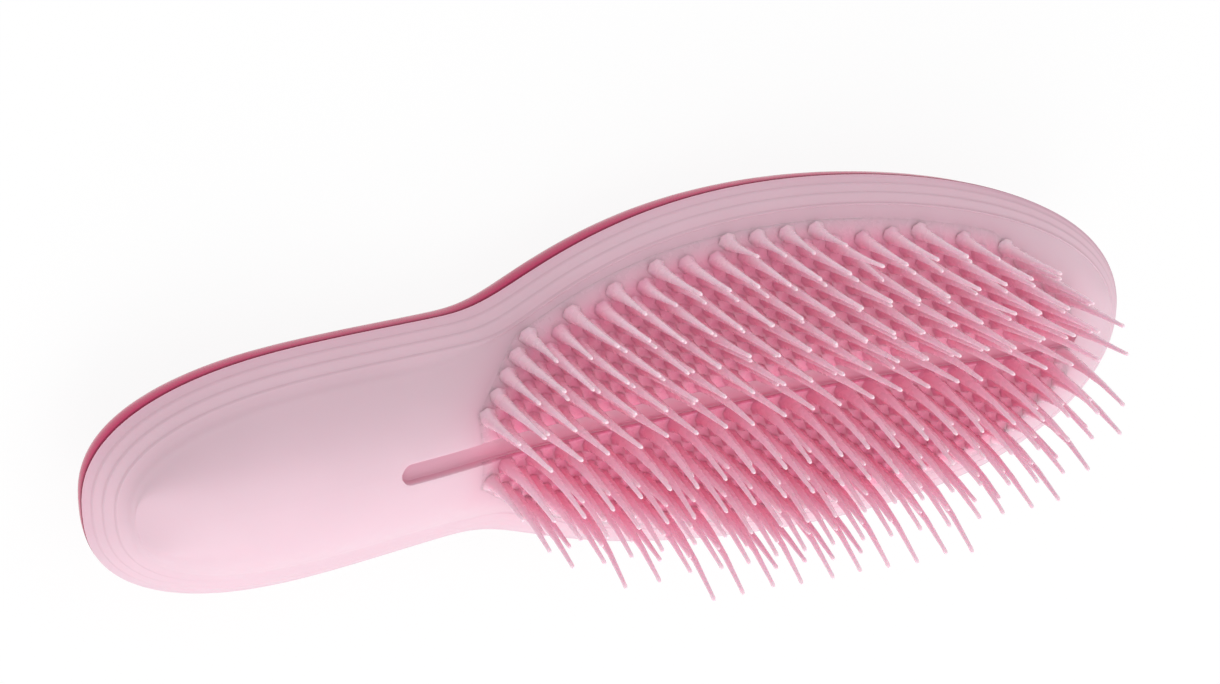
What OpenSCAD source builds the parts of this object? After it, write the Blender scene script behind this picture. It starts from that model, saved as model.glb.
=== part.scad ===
// Detangling brush with a flared handle, a glossy back shell, a pale front shell and two fields of teeth.
// X runs along the brush from the handle to the head, Y across it and Z from the back to the teeth.

/* [Overall] */
// Whole length
brush_len = 220; // [190:1:250]
// Length of the head's oval
head_len = 151.9; // [140:0.1:165]
// Width of the head
head_w = 75.4; // [68:0.1:84]

/* [Handle] */
// Width of the handle where it is widest
handle_w = 46; // [40:0.5:52]
// Distance from the handle's end to its widest place
handle_belly = 45.3; // [40:0.1:50]
// Length over which the handle's end rounds off
handle_round = 45.5; // [36:0.5:50]
// How square the handle's end is, 2 being an ellipse
handle_end_power = 2.43; // [2:0.01:3]
// Width of the neck
neck_w = 44.9; // [40:0.1:50]
// Distance from the handle's end to the neck
neck_at = 76.1; // [70:0.1:82]
// How tightly the neck meets the head, more being tighter
blend_power = 7.7; // [5:0.1:12]

/* [Parting line] */
// How far the parting line climbs from the middle to the handle's end
rise_handle = 5.8; // [2:0.1:10]
// How far the parting line climbs from the middle to the head's end
rise_head = 13.2; // [8:0.1:18]

/* [Front shell] */
// Height that the handle's domed face tends to above the parting line
dome_handle = 20.6; // [17:0.1:25]
// The same height past the neck
dome_neck = 16; // [13:0.1:19]
// The same height on the far half of the head
dome_head = 12; // [10:0.1:15]
// How softly the handle's face turns over its middle line
crown_round = 12; // [4:0.5:20]
// Distance from the head's end to where the dome starts to settle
settle_from = 160; // [150:1:170]
// Distance from the head's end to where it has settled past the neck
settle_to = 115; // [105:1:125]
// Distance from the head's end to where the far half's height is reached
settle_far = 45; // [30:1:60]
// Thickness of the front shell, measured along Z
front_wall = 3.2; // [2.9:0.1:4]
// Width of the front shell's flat underside at the edge
front_land = 2.4; // [1.5:0.1:3]
// First crease, measured in from the edge
crease_1_in = 1.3; // [0.8:0.1:1.8]
// Second crease, measured in from the edge
crease_2_in = 2.8; // [2.3:0.1:3.3]
// Third crease, measured in from the edge
crease_3_in = 4.5; // [4:0.05:4.6]
// Height of the step at each crease
crease_step = 0.35; // [0.1:0.05:0.5]
// Width of the step at each crease
crease_run = 0.12; // [0.05:0.01:0.2]
// Edge of the handle's raised panel, measured in from the edge
panel_in = 7.3; // [6.4:0.1:9]
// Width of the panel's soft step
panel_run = 0.9; // [0.4:0.1:1.2]
// Height of the handle's panel
panel_step = 0.45; // [0.1:0.05:0.8]
// Distance from the head's end to where the panel's step starts to fade out
panel_fade_from = 158; // [154:1:164]
// Distance from the head's end to where the panel's step has faded out
panel_fade_to = 136; // [130:1:142]
// Edge of the face on the head, measured in from the edge
face_in = 5.1; // [4.9:0.05:5.2]

/* [Channel] */
// Distance from the head's end to the start of the channel down the middle
channel_start = 164.5; // [160:0.5:172]
// Width of the channel
channel_w = 4.2; // [3:0.1:6]
// Depth of the channel below the face
channel_depth = 2; // [1.6:0.1:2.2]
// Width of the slope at each side of the channel's floor
channel_slope = 0.3; // [0.1:0.05:0.5]
// Length of the slope at each end of the channel
channel_end_slope = 0.5; // [0.2:0.1:0.8]

/* [Teeth] */
// Distance from the head's end to the first column of teeth
teeth_start = 145.7; // [144:0.1:147]
// Distance that the columns of teeth keep from the head's end
teeth_end = 20.4; // [17:0.1:24]
// Spacing of the teeth along a row
tooth_pitch = 6.1; // [5.8:0.1:7]
// Spacing of the rows
row_pitch = 2.8; // [2.7:0.1:3.4]
// Length of a long tooth by the middle
long_tooth = 20.5; // [16:0.5:24]
// Length that the long teeth tend to at the pad's widest edge
long_tooth_side = 13; // [10:0.5:16]
// Length of a short tooth by the middle
short_tooth = 14; // [10:0.5:16]
// Length that the short teeth tend to at the pad's widest edge
short_tooth_side = 9.5; // [7:0.5:10]
// Length that the lower pad's long teeth tend to at its widest edge
lower_long_side = 23; // [16:0.5:26]
// Length that the lower pad's short teeth tend to at its widest edge
lower_short_side = 20.5; // [14:0.5:22]
// Outward lean of a long tooth's tip on the lower pad, by the middle
lean_long = 3.9; // [0:0.1:5]
// Outward lean that the lower pad's long teeth tend to at its widest edge
lean_long_side = 11; // [0:0.1:12]
// Outward lean of a short tooth's tip on the lower pad, by the middle
lean_short = 1.9; // [0:0.1:3]
// Outward lean that the lower pad's short teeth tend to at its widest edge
lean_short_side = 4.4; // [0:0.1:6]
// Width of a tooth's foot along the row
foot_w = 3; // [2:0.1:3.2]
// Height of the flared foot
foot_height = 5; // [3:0.5:7]
// Width of a tooth above its foot
shaft_w = 1.7; // [1:0.1:2]
// Width of a tooth at its tip
tip_w = 1.2; // [0.6:0.1:1.4]

/* [Tooth pads] */
// Thickness of a pad
pad_thick = 1.2; // [1:0.1:1.4]
// Bare border between the edge and a pad at the neck
border_near = 5.5; // [5.5:0.1:7]
// Growth of that border toward the head's end
border_growth = 2.5; // [1:0.1:4]
// Reach of a pad from the middle line at the first column of teeth
pad_nose = 9.3; // [8:0.1:12]
// Reach of a pad from the middle line at the last column of teeth
pad_tail = 10.8; // [9:0.1:13]
// How far a pad runs past its first and last columns
pad_margin = 1.75; // [1.7:0.05:2]

/* [Back shell] */
// Depth of the back shell below the parting line
back_depth = 13.5; // [10:0.5:18]
// Distance from the edge over which the back rounds under
back_round = 11; // [7:0.5:14]
// Crown of the back across its width
back_crown = 1.5; // [0.5:0.1:2.5]
// How much of the crown is flattened where the brush rests
rest_flat = 2; // [1:0.1:2.5]
// Wall of the back shell
back_wall = 2.2; // [1.5:0.1:3]

/* [Hidden] */

// Mesh counts
END_STEPS = 9;
TIP_STEPS = 6;
// Slope of the pads' slanted ends
nose_slope_share = 0.9;
tail_slope_share = 0.92;
// Rise of the face for each unit of run at its very edge
edge_slope_share = 1.3;
// How tightly the face turns from its long sides to its ends
end_power = 3;
// Clearance that a tooth's foot keeps from its pad's edge
foot_gap = 0.25;
// Length over which a pad's end wall slants
pad_slant = 0.3;
// Distance from the last close column of the handle's end to the channel
end_gap = 10.2;
// Places of the rows between the crowned edge and the pad, and across a pad
face_shares = [0.35, 0.7];
pad_shares = [0, 0.42, 0.75, 1];
// Places of the rows across the back and across the hollow inside
cap_shares = [0.68, 0.34];
// Places round the back's edge, as shares of its quarter turn
turn_shares = [0.22, 0.5, 0.78];
// Places of the columns between the channel's start and the pads
neck_shares = [0.4, 0.7];
// Width of the channel's lip over its round ends, and its limit as a share of the face
lip_shares = [0.4, 0.72];
lip_limit_share = 0.5;

middle = brush_len / 2;
head_half = head_len / 2;
head_mid = brush_len - head_half;
channel_half = channel_w / 2;
half_pitch = tooth_pitch / 2;
back_low = back_depth + back_crown - rest_flat;
settle_x = [brush_len - settle_from, brush_len - settle_to, brush_len - settle_far];
fade_x = [brush_len - panel_fade_from, brush_len - panel_fade_to];
channel_x = brush_len - channel_start;
teeth_x = brush_len - teeth_start;
teeth_limit = brush_len - teeth_end;

// Eases from 0 to 1 between two places
function ease(x, a, b) =
    let (u = min(1, max(0, (x - a) / (b - a))))
    (1 - cos(180 * u)) / 2;

// Half width of the head's oval, drawn in by d
function oval(x, d) =
    let (u = (x - head_mid) / (head_half - d))
    (head_w / 2 - d) * sqrt(max(0, 1 - u * u));

// Half width of the handle, drawn in by d, fading out inside the head
function handle_half(x, d) =
    let (
        side = handle_w / 2 - (handle_w - neck_w) / 2 * ease(x, handle_belly, neck_at) - d,
        u = min(1, max(0, (handle_round - x) / (handle_round - d))),
        end = pow(max(0, 1 - pow(u, handle_end_power)), 1 / handle_end_power),
        fade = min(1, max(0, (head_mid - x) / (head_mid - neck_at)))
    )
    side * end * (x > neck_at ? sqrt(sin(90 * fade)) : 1);

// Half width of the whole outline, drawn in by d
function half_w(x, d) =
    let (
        a = oval(x, d),
        b = handle_half(x, d),
        top = max(a, b)
    )
    top <= 0 ? 0 : top * pow(pow(a / top, blend_power) + pow(b / top, blend_power), 1 / blend_power);

// Height of the parting line above its lowest place
function rim(x) =
    let (u = (x - middle) / middle)
    (u < 0 ? rise_handle : rise_head) * (1 - cos(180 * min(1, abs(u)))) / 2;

// Height of the dome above the parting line at a place and a distance from the edge
function dome_top(x) =
    dome_handle
    + (dome_neck - dome_handle) * ease(x, settle_x[0], settle_x[1])
    + (dome_head - dome_neck) * ease(x, settle_x[1], settle_x[2]);
function dome(x, d) =
    let (top = dome_top(x))
    top * (1 - exp(-d * edge_slope_share / top));

// Inset of the face's own edge, which moves outward along the neck
function edge_in(x) = panel_in + (face_in - panel_in) * ease(x, fade_x[0], fade_x[1]);
function panel_lift(x) = panel_step * (1 - ease(x, fade_x[0], fade_x[1]));

// Half width and height of the smooth face
function face_half(x) = half_w(x, edge_in(x));
function crowned(x, y) =
    let (
        w = face_half(x),
        r = crown_round * (1 - ease(x, settle_x[0], settle_x[1]))
    )
    w <= 0 || y >= w ? y : w * (norm([y, r]) - r) / (norm([w, r]) - r);
function from_edge(x, y) =
    let (
        a = max(face_half(x) - crowned(x, abs(y)), 0),
        b = max(min(x - panel_in, brush_len - face_in - x), 0),
        low = min(a, b)
    )
    edge_in(x) + (low <= 0 ? 0 : low * pow(pow(low / a, end_power) + pow(low / b, end_power), -1 / end_power));
function face_z(x, y) = rim(x) + dome(x, from_edge(x, y)) + panel_lift(x);

// Columns of teeth, and the reach of a pad at a place along the brush
last_col = floor((teeth_limit - teeth_x) / half_pitch);
teeth_last = teeth_x + last_col * half_pitch;
pad_from = teeth_x - pad_margin;
pad_to = teeth_last + pad_margin;
function pad_reach(x) =
    let (border = border_near + border_growth * (x - pad_from) / (pad_to - pad_from))
    min(
        half_w(x, border),
        pad_nose + nose_slope_share * (x - teeth_x),
        pad_tail + tail_slope_share * (teeth_last - x)
    );

// Places of the columns along a pad, with a point at each end
pad_x = concat(
    [pad_from - pad_slant, pad_from],
    [for (m = [0 : last_col]) teeth_x + m * half_pitch],
    [pad_to, pad_to + pad_slant]
);
pad_n = len(pad_x);
pad_y = [for (i = [0 : pad_n - 1]) i == 0 || i == pad_n - 1 ? channel_half : pad_reach(pad_x[i])];

// Rows of teeth, and the lines between the rows at each column
rows = ceil((head_w / 2 - channel_half) / row_pitch);
function row_y(j) = channel_half + (j + 0.5) * row_pitch;
function line_y(k) = channel_half + k * row_pitch;
line_n = [for (y = pad_y) y <= channel_half ? 0 : 1 + floor((y - foot_gap - channel_half) / row_pitch)];
function grid_y(i, k) = k >= line_n[i] ? pad_y[i] : line_y(k);

// A tooth stands where a column and a row meet by turns and the pad is wide enough for its foot
function reach_beside(i, side) =
    let (gap = abs(pad_x[i + side] - pad_x[i]))
    pad_y[i] + (pad_y[i + side] - pad_y[i]) * foot_w / 2 / gap;
function tooth_here(i, j) =
    i > 1 && i < pad_n - 2 && j < line_n[i] - 1 && (i + j) % 2 == 1
    && row_y(j) + foot_gap <= reach_beside(i, -1)
    && row_y(j) + foot_gap <= reach_beside(i, 1);
function tooth_len(j, side) =
    let (
        u = pow(row_y(j) / (head_w / 2 - border_near), 3),
        long_side = side > 0 ? long_tooth_side : lower_long_side,
        short_side = side > 0 ? short_tooth_side : lower_short_side
    )
    j % 2 == 0
        ? long_tooth + (long_side - long_tooth) * u
        : short_tooth + (short_side - short_tooth) * u;
function tooth_lean(j, side) =
    let (u = pow(row_y(j) / (head_w / 2 - border_near), 2))
    side > 0 ? 0
        : j % 2 == 0
            ? lean_long + (lean_long_side - lean_long) * u
            : lean_short + (lean_short_side - lean_short) * u;

// Drops the triangles that have closed up to a line
function open_faces(list) = [for (f = list) if (f[0] != f[1] && f[1] != f[2] && f[2] != f[0]) f];
function turned(list, flip) = flip ? [for (f = list) [f[2], f[1], f[0]]] : list;

// Moves the brush so that its back rests at zero height and its middle is over the origin
module placed() {
    translate([-middle, 0, back_low]) children();
}

// One field of teeth with the slice of pad that they grow from, side being 1 or -1
module tooth_pad(side) {
    n = pad_n - 1;
    w = rows + 1;
    across = len(pad_shares);
    under = (n + 1) * w;
    feet = under + (n + 1) * across;
    function p(i, k) = i * w + min(k, line_n[i]);
    function q(i, c) = under + i * across + (line_n[i] == 0 ? 0 : c);
    function t(i, j) = feet + (i * rows + j) * 10;
    function ring(x, y, z, r, ry) = [
        [x, side * (y - ry), z],
        [x + r, side * y, z],
        [x, side * (y + ry), z],
        [x - r, side * y, z]
    ];
    function sq(a, b, c, d) = [[a, b, c], [a, c, d]];
    top_pts = [
        for (i = [0 : n], k = [0 : rows])
            let (y = grid_y(i, k))
            [pad_x[i], side * y, face_z(pad_x[i], y)]
    ];
    under_pts = [
        for (i = [0 : n], s = pad_shares)
            let (y = channel_half + s * (pad_y[i] - channel_half))
            [pad_x[i], side * y, face_z(pad_x[i], y) - pad_thick]
    ];
    tooth_pts = [
        for (i = [0 : n], j = [0 : rows - 1])
            let (
                x = pad_x[i],
                y = row_y(j),
                z = face_z(x, y),
                r = foot_w / 2,
                h = tooth_len(j, side),
                bend = tooth_lean(j, side),
                bend_low = bend * pow(foot_height / h, 2)
            )
            each tooth_here(i, j) ? concat(
                [[x + r, side * y, face_z(x + r, y)], [x - r, side * y, face_z(x - r, y)]],
                ring(x, y + bend_low, z + foot_height, shaft_w / 2, shaft_w / 2),
                ring(x, y + bend, z + h, tip_w / 2, tip_w / 2)
            ) : [for (m = [0 : 9]) top_pts[0]]
    ];
    bed = [
        for (i = [0 : n - 1], k = [0 : rows - 1])
            let (
                a = p(i, k),
                b = p(i + 1, k),
                c = p(i + 1, k + 1),
                d = p(i, k + 1),
                near = tooth_here(i, k),
                far = tooth_here(i + 1, k),
                e = t(i, k),
                f = t(i + 1, k) + 1
            )
            each near ? [[e, a, b], [e, b, c], [e, c, d]]
                : far ? [[f, c, d], [f, d, a], [f, a, b]]
                : sq(a, b, c, d)
    ];
    teeth = [
        for (i = [0 : n], k = [0 : rows - 1])
            if (tooth_here(i, k))
                let (
                    s = t(i, k),
                    foot = [p(i, k), s, p(i, k + 1), s + 1],
                    mid = [s + 2, s + 3, s + 4, s + 5],
                    tip = [s + 6, s + 7, s + 8, s + 9]
                )
                each concat(
                    [for (m = [0 : 3]) each sq(foot[m], foot[(m + 1) % 4], mid[(m + 1) % 4], mid[m])],
                    [for (m = [0 : 3]) each sq(mid[m], mid[(m + 1) % 4], tip[(m + 1) % 4], tip[m])],
                    sq(tip[0], tip[1], tip[2], tip[3])
                )
    ];
    base = [
        for (i = [0 : n - 1], c = [0 : across - 2])
            each sq(q(i, c), q(i, c + 1), q(i + 1, c + 1), q(i + 1, c))
    ];
    walls = [
        for (i = [0 : n - 1])
            each concat(
                sq(q(i, 0), q(i + 1, 0), p(i + 1, 0), p(i, 0)),
                sq(p(i, rows), p(i + 1, rows), q(i + 1, across - 1), q(i, across - 1))
            )
    ];
    placed() polyhedron(
        points = concat(top_pts, under_pts, tooth_pts),
        faces = turned(open_faces(concat(bed, teeth, base, walls)), side > 0),
        convexity = 10
    );
}

// Columns along both shells: the handle's round end, the channel's start, the pads, the channel's end, the head's tip
face_from = panel_in;
face_to = brush_len - face_in;
neck_gap = pad_x[0] - channel_x;
pad_end_x = pad_x[pad_n - 1];
col_x = concat(
    [for (k = [0 : END_STEPS]) face_from + (channel_x - end_gap - face_from) * (1 - cos(90 * k / END_STEPS))],
    [channel_x - end_gap / 2, channel_x, channel_x + channel_end_slope, channel_x + channel_half],
    [for (s = neck_shares) channel_x + neck_gap * s],
    pad_x,
    [pad_end_x + channel_half / 2, pad_end_x + channel_half / 2 + channel_end_slope],
    [
        for (k = [1 : TIP_STEPS])
            let (from = pad_end_x + channel_half / 2 + channel_end_slope)
            from + (face_to - from) * sin(90 * k / TIP_STEPS)
    ]
);
cols = len(col_x) - 1;
first_pad = END_STEPS + 7;
last_pad = first_pad + pad_n - 1;
channel_first = END_STEPS + 2;
channel_last = last_pad + 2;
function along(i) = (col_x[i] - face_from) / (face_to - face_from);
function at_inset(i, d) = d + (brush_len - 2 * d) * along(i);

// Half width of the channel's lip at a column, narrow at its round ends
function lip(i) =
    let (narrow_share = i == channel_first || i == channel_last ? lip_shares[0]
        : i == channel_first + 1 || i == channel_last - 1 ? lip_shares[1] : 1)
    min(channel_half * narrow_share, face_half(col_x[i]) * lip_limit_share);

// Points of the front shell at one column, from its edge over the face to the middle line
function edge_pt(i, d, lift) =
    let (x = at_inset(i, d))
    [x, half_w(x, d), rim(x) + dome(x, d) + lift];
function skin_pt(i, y, drop) = [col_x[i], y, face_z(col_x[i], y) - drop];
function front_half(i) =
    let (
        x = col_x[i],
        in_pad = i >= first_pad && i <= last_pad,
        in_channel = i > channel_first && i < channel_last,
        c = lip(i),
        reach = in_pad ? pad_y[i - first_pad] : c,
        w = face_half(x),
        sunk = in_pad ? pad_thick : 0,
        step = crease_step / 2,
        pre_far = face_in - crease_run,
        pre = edge_in(x) - crease_run - panel_run * (1 - ease(x, fade_x[0], fade_x[1]))
    )
    concat(
        [edge_pt(i, 0, 0)],
        [for (d = [crease_1_in, crease_2_in, crease_3_in]) each [
            edge_pt(i, d, -step),
            edge_pt(i, d + crease_run, step)
        ]],
        [let (px = pre + (brush_len - pre - pre_far) * along(i)) [px, half_w(px, pre), rim(px) + dome(px, pre)]],
        [skin_pt(i, w, 0)],
        [for (s = face_shares) skin_pt(i, w + (reach - w) * s, 0)],
        [skin_pt(i, reach, 0)],
        [for (k = [len(pad_shares) - 1 : -1 : 0]) skin_pt(i, c + pad_shares[k] * (reach - c), sunk)],
        [skin_pt(i, in_channel ? c - channel_slope : c, in_channel ? channel_depth : 0)]
    );
// Points of the hollow's side of the front shell at one column, from the edge to the middle line
function front_inner(i) =
    let (
        xl = at_inset(i, front_land),
        w = face_half(col_x[i])
    )
    concat(
        [[xl, half_w(xl, front_land), rim(xl)]],
        [for (s = concat([1], cap_shares)) skin_pt(i, w * s, front_wall)]
    );
function flip_y(list) = [for (k = [len(list) - 1 : -1 : 0]) [list[k][0], -list[k][1], list[k][2]]];

// Names of the front shell's rows, counted from the edge: the face's edge, the pad's edge and bed, and the floor
FACE = 8;
PAD = 11;
BED = 12;
FLOOR = BED + len(pad_shares);
HALF = FLOOR + 1;
INNER = 4;

// Row that a row has closed up to at a column, on the outer side
function front_row(i, r) =
    let (
        in_pad = i >= first_pad && i <= last_pad,
        pad_point = i == first_pad || i == last_pad,
        in_channel = i > channel_first && i < channel_last
    )
    i == 0 || i == cols ? min(r, FACE)
        : pad_point && r > BED && r < FLOOR ? BED
        : !in_pad && r >= PAD && r < FLOOR ? PAD
        : !in_pad && r == FLOOR && !in_channel ? PAD
        : r;
function front_id(i, r) =
    let (
        n = 2 * HALF + 2 * INNER,
        lower = r >= HALF && r < 2 * HALF,
        outer = r < 2 * HALF,
        h = outer ? (lower ? 2 * HALF - 1 - r : r) : r,
        in_h = r < 2 * HALF + INNER ? r - 2 * HALF : n - 1 - r,
        end = i == 0 || i == cols,
        o = front_row(i, h),
        s = end ? min(in_h, 1) : in_h
    )
    i * n + (outer
        ? (lower && !end ? 2 * HALF - 1 - o : o)
        : (r < 2 * HALF + INNER || end ? 2 * HALF + s : n - 1 - s));

// Closed skin from rows of points that run right round each column
function wrap(n, count, id) = [
    for (i = [0 : count - 1], r = [0 : n - 1])
        let (
            r2 = (r + 1) % n,
            a = id(i, r),
            b = id(i, r2),
            c = id(i + 1, r2),
            d = id(i + 1, r)
        )
        each [[a, b, c], [a, c, d]]
];

// Pale shell with creases round its edge, a raised handle panel, a channel and a bed for each pad
module front_shell() {
    color("#e6cbd6") placed() polyhedron(
        points = [
            for (i = [0 : cols])
                let (
                    o = front_half(i),
                    v = front_inner(i)
                )
                each concat(o, flip_y(o), [for (p = v) [p[0], -p[1], p[2]]], [for (p = flip_y(v)) [p[0], -p[1], p[2]]])
        ],
        faces = turned(
            open_faces(wrap(2 * HALF + 2 * INNER, cols, function (i, r) front_id(i, r))),
            true
        ),
        convexity = 10
    );
}

// Height of the back's outside and of its hollow at an inset and at a share of the crown
function turn_in(s, d, reach) = d + reach * (1 - cos(90 * s));
function turn_down(s, depth) = depth * sin(90 * s);
function back_z(x, drop) = max(rim(x) - drop, -back_low);
function cap_pt(i, s, drop, crown) =
    let (
        x = at_inset(i, back_round),
        w = half_w(x, back_round)
    )
    [x, w * s, back_z(x, drop + crown * (1 - s * s))];
function back_outer(i) =
    concat(
        [for (s = concat([0], turn_shares))
            let (
                d = turn_in(s, 0, back_round),
                x = at_inset(i, d)
            )
            [x, half_w(x, d), rim(x) - turn_down(s, back_depth)]
        ],
        [for (s = concat([1], cap_shares)) cap_pt(i, s, back_depth, back_crown)]
    );
function back_inner(i) =
    concat(
        [for (s = [0, turn_shares[1]])
            let (
                d = turn_in(s, back_wall, back_round - back_wall),
                x = at_inset(i, d)
            )
            [x, half_w(x, d), rim(x) - turn_down(s, back_depth - back_wall - rest_flat + back_crown)]
        ],
        [for (s = concat([1], cap_shares))
            cap_pt(i, s, back_depth - back_wall - rest_flat + back_crown, 0)
        ]
    );

// Row counts of the back shell, outside and inside, and the row where each cap starts
B_OUT = 7;
B_CAP = 4;
B_IN = 5;
B_IN_CAP = 2;
function back_id(i, r) =
    let (
        n = 2 * B_OUT + 2 * B_IN,
        outer = r < 2 * B_OUT,
        far = outer ? r >= B_OUT : r >= 2 * B_OUT + B_IN,
        end = i == 0 || i == cols,
        h = outer ? (far ? 2 * B_OUT - 1 - r : r) : (far ? n - 1 - r : r - 2 * B_OUT),
        s = end ? min(h, outer ? B_CAP : B_IN_CAP) : h
    )
    i * n + (outer
        ? (far && !end ? 2 * B_OUT - 1 - s : s)
        : (far && !end ? n - 1 - s : 2 * B_OUT + s));

// Deep pink hollow shell that rounds under to the flat that the brush rests on
module back_shell() {
    color("#c34169") placed() polyhedron(
        points = [
            for (i = [0 : cols])
                let (
                    o = back_outer(i),
                    v = back_inner(i)
                )
                each concat(o, flip_y(o), [for (p = v) [p[0], -p[1], p[2]]], [for (p = flip_y(v)) [p[0], -p[1], p[2]]])
        ],
        faces = open_faces(wrap(2 * B_OUT + 2 * B_IN, cols, function (i, r) back_id(i, r))),
        convexity = 10
    );
}

module tooth_pad_upper() {
    color("#df8fad") tooth_pad(1);
}

module tooth_pad_lower() {
    color("#df8fad") tooth_pad(-1);
}

back_shell();
front_shell();
tooth_pad_upper();
tooth_pad_lower();
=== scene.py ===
"""Looks of a detangling brush: two moulded shells, two fields of teeth and a plain studio."""

import math

import bpy
import numpy as np
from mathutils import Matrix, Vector


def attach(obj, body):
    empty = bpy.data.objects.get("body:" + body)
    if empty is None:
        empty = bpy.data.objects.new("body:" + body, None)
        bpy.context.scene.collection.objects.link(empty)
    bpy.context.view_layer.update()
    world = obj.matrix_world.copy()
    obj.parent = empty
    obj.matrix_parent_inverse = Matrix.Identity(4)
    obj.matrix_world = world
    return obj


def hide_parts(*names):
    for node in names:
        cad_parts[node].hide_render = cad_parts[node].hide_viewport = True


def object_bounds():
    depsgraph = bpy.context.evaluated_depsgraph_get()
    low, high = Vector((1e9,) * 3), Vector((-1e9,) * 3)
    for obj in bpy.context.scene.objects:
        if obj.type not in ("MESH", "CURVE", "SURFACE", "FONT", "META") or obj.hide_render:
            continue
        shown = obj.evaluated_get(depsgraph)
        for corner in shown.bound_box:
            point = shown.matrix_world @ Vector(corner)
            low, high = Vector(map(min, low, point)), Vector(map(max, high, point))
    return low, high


bl_info = {
    "name": "Detangling brush",
    "version": (1, 0, 0),
    "blender": (4, 5, 0),
    "location": "3D View > Sidebar > Brush",
    "description": "Builds the shells, the teeth and the studio of a detangling brush",
    "category": "Object",
}

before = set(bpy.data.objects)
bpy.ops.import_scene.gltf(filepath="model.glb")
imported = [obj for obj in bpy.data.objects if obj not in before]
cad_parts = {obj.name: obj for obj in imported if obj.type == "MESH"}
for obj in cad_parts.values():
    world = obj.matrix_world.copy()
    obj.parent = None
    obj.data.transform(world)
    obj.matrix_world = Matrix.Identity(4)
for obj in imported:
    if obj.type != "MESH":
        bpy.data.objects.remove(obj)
CAD_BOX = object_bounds()
MM = 0.001


class BrushOutline(bpy.types.PropertyGroup):
    """Sizes of the brush seen from the front, with places along X from the handle's end."""

    length: bpy.props.FloatProperty(
        name="Whole length", description="Length of the brush", default=0.22, min=0.15, unit="LENGTH")
    head_length: bpy.props.FloatProperty(
        name="Head length", description="Length of the head's oval", default=0.1519, unit="LENGTH")
    head_width: bpy.props.FloatProperty(
        name="Head width", description="Width of the head's oval", default=0.0754, unit="LENGTH")
    handle_width: bpy.props.FloatProperty(
        name="Handle width", description="Width of the handle where it is widest", default=0.046, unit="LENGTH")
    handle_belly: bpy.props.FloatProperty(
        name="Handle belly", description="Place of the handle's widest part", default=0.0453, unit="LENGTH")
    handle_round: bpy.props.FloatProperty(
        name="Handle round", default=0.0455, unit="LENGTH",
        description="Length over which the handle's end rounds off")
    handle_power: bpy.props.FloatProperty(
        name="Handle squareness", description="How square the handle's end is", default=2.43)
    neck_width: bpy.props.FloatProperty(
        name="Neck width", description="Width of the neck", default=0.0449, unit="LENGTH")
    neck_at: bpy.props.FloatProperty(
        name="Neck place", description="Place of the neck", default=0.0761, unit="LENGTH")
    blend_power: bpy.props.FloatProperty(
        name="Neck blend", description="How tightly the neck meets the head", default=7.7)
    rise_handle: bpy.props.FloatProperty(
        name="Handle rise", default=0.0058, unit="LENGTH",
        description="Climb of the parting line to the handle's end")
    rise_head: bpy.props.FloatProperty(
        name="Head rise", default=0.0132, unit="LENGTH",
        description="Climb of the parting line to the head's end")


class BrushShells(bpy.types.PropertyGroup):
    """Sizes of the two shells."""

    dome_handle: bpy.props.FloatProperty(
        name="Handle dome", description="Height that the handle's face tends to", default=0.0206, unit="LENGTH")
    dome_neck: bpy.props.FloatProperty(
        name="Neck dome", description="The same height past the neck", default=0.016, unit="LENGTH")
    dome_head: bpy.props.FloatProperty(
        name="Head dome", default=0.012, unit="LENGTH",
        description="The same height on the far half of the head")
    crown_round: bpy.props.FloatProperty(
        name="Crown round", default=0.012, unit="LENGTH",
        description="How softly the handle's face turns over its middle line")
    edge_slope: bpy.props.FloatProperty(
        name="Edge slope", description="Rise of the face for each unit of run at its edge", default=1.3)
    front_wall: bpy.props.FloatProperty(
        name="Front wall", description="Thickness of the front shell along Z", default=0.0032, unit="LENGTH")
    crease_step: bpy.props.FloatProperty(
        name="Crease step", description="Height of the step at each crease", default=0.00035, unit="LENGTH")
    panel_in: bpy.props.FloatProperty(
        name="Panel inset", description="Inset of the handle's raised panel", default=0.0073, unit="LENGTH")
    panel_step: bpy.props.FloatProperty(
        name="Panel step", description="Height of the handle's raised panel", default=0.00045, unit="LENGTH")
    face_in: bpy.props.FloatProperty(
        name="Face inset", description="Inset of the face's edge on the head", default=0.0051, unit="LENGTH")
    channel_from: bpy.props.FloatProperty(
        name="Channel start", description="Place where the channel starts", default=0.0555, unit="LENGTH")
    channel_width: bpy.props.FloatProperty(
        name="Channel width", description="Width of the channel", default=0.0042, unit="LENGTH")
    channel_depth: bpy.props.FloatProperty(
        name="Channel depth", description="Depth of the channel below the face", default=0.002, unit="LENGTH")
    back_depth: bpy.props.FloatProperty(
        name="Back depth", default=0.0135, unit="LENGTH",
        description="Depth of the back shell below the parting line")
    back_round: bpy.props.FloatProperty(
        name="Back round", description="Inset over which the back rounds under", default=0.011, unit="LENGTH")
    back_crown: bpy.props.FloatProperty(
        name="Back crown", description="Crown of the back across its width", default=0.0015, unit="LENGTH")
    rest_flat: bpy.props.FloatProperty(
        name="Rest flat", description="How much of the crown is flattened", default=0.002, unit="LENGTH")
    back_wall: bpy.props.FloatProperty(
        name="Back wall", description="Wall of the back shell", default=0.0022, unit="LENGTH")
    groove: bpy.props.FloatProperty(
        name="Parting groove", default=0.00022, unit="LENGTH",
        description="Chamfer of each shell at the parting line")


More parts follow.
